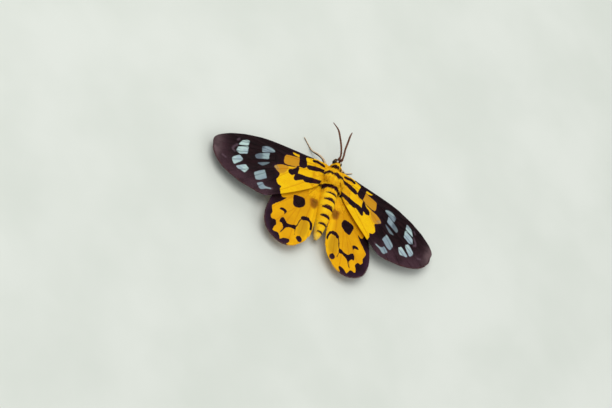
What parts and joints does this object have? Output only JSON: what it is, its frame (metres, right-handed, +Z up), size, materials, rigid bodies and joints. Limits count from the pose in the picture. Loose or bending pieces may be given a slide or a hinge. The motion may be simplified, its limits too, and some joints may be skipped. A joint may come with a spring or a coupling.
{
  "type": "false tiger moth",
  "caption": "Life-size day-flying moth at rest with its patterned wings spread flat, standing on six slender legs.",
  "frame": {"origin": "on the floor, under the middle of the outline of the whole moth", "axes": "+X to the moth's right, along the wingspan; +Y forwards, towards the head; +Z up"},
  "size_m": [0.0832, 0.0488, 0.0095],
  "materials": {
    "dark_scales": "matt dark purple-brown wing scales",
    "yellow_scales": "matt yellow wing scales",
    "yellow_pile": "short yellow scale hair",
    "chitin": "pale brown satin",
    "eye": "glossy dark brown"
  },
  "bodies": {
    "root": {"thorax": "yellow_pile", "collar": "yellow_pile", "abdomen": "yellow_pile", "head": "yellow_pile", "eye_right": "eye", "eye_left": "eye", "antenna_right": "chitin", "antenna_left": "chitin", "palp_right": "yellow_pile", "palp_left": "yellow_pile", "tongue": "chitin", "forewing_right": "dark_scales", "forewing_left": "dark_scales", "hindwing_right": "yellow_scales", "hindwing_left": "yellow_scales", "tegula_right": "yellow_pile", "tegula_left": "yellow_pile", "leg_front_right_femur": "chitin", "leg_front_right_tibia": "chitin", "leg_front_right_tarsus": "chitin", "leg_front_left_femur": "chitin", "leg_front_left_tibia": "chitin", "leg_front_left_tarsus": "chitin", "leg_middle_right_femur": "chitin", "leg_middle_right_tibia": "chitin", "leg_middle_right_tarsus": "chitin", "leg_middle_left_femur": "chitin", "leg_middle_left_tibia": "chitin", "leg_middle_left_tarsus": "chitin", "leg_hind_right_femur": "chitin", "leg_hind_right_tibia": "chitin", "leg_hind_right_tarsus": "chitin", "leg_hind_left_femur": "chitin", "leg_hind_left_tibia": "chitin", "leg_hind_left_tarsus": "chitin"}
  },
  "joints": []
}
